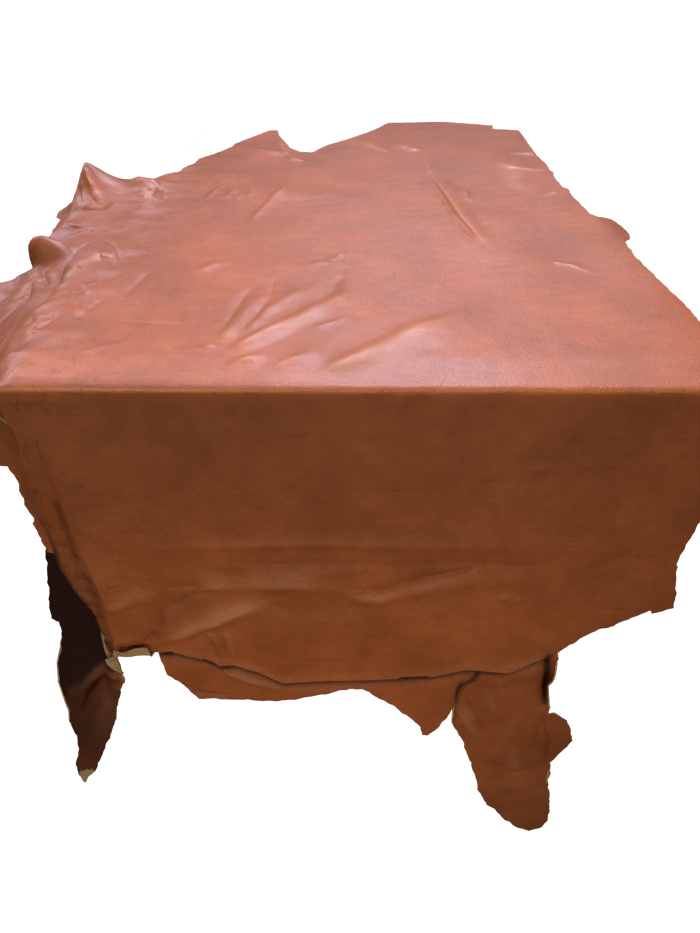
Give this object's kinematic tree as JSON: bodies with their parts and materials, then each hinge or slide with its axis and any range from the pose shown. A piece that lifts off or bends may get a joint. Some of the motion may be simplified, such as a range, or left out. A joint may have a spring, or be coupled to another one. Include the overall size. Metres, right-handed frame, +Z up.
{
  "type": "leather hide on a table",
  "caption": "Whole leather hide lying grain side up over the end of a plain trestle table, its leg and shank hanging down the front and its belly edge drooping at the side.",
  "frame": {"origin": "centre of the whole box's footprint, on the floor", "axes": "+Z up; +Y from the end that the hide falls over towards the table's far end; +X to the right as seen from that end"},
  "size_m": [1.0986, 1.717, 0.9909],
  "materials": {
    "leather": "red-brown cognac grain with a soft sheen, tan suede flesh side and cut edge",
    "table_board": "white laminated board, satin",
    "table_timber": "timber painted white, satin"
  },
  "bodies": {
    "root": {"hide": "leather", "table_top": "table_board", "front_head": "table_timber", "front_left_post": "table_timber", "front_right_post": "table_timber", "front_left_foot": "table_timber", "front_right_foot": "table_timber", "front_rail": "table_timber", "back_head": "table_timber", "back_left_post": "table_timber", "back_right_post": "table_timber", "back_left_foot": "table_timber", "back_right_foot": "table_timber", "back_rail": "table_timber", "stretcher": "table_timber"}
  },
  "joints": []
}
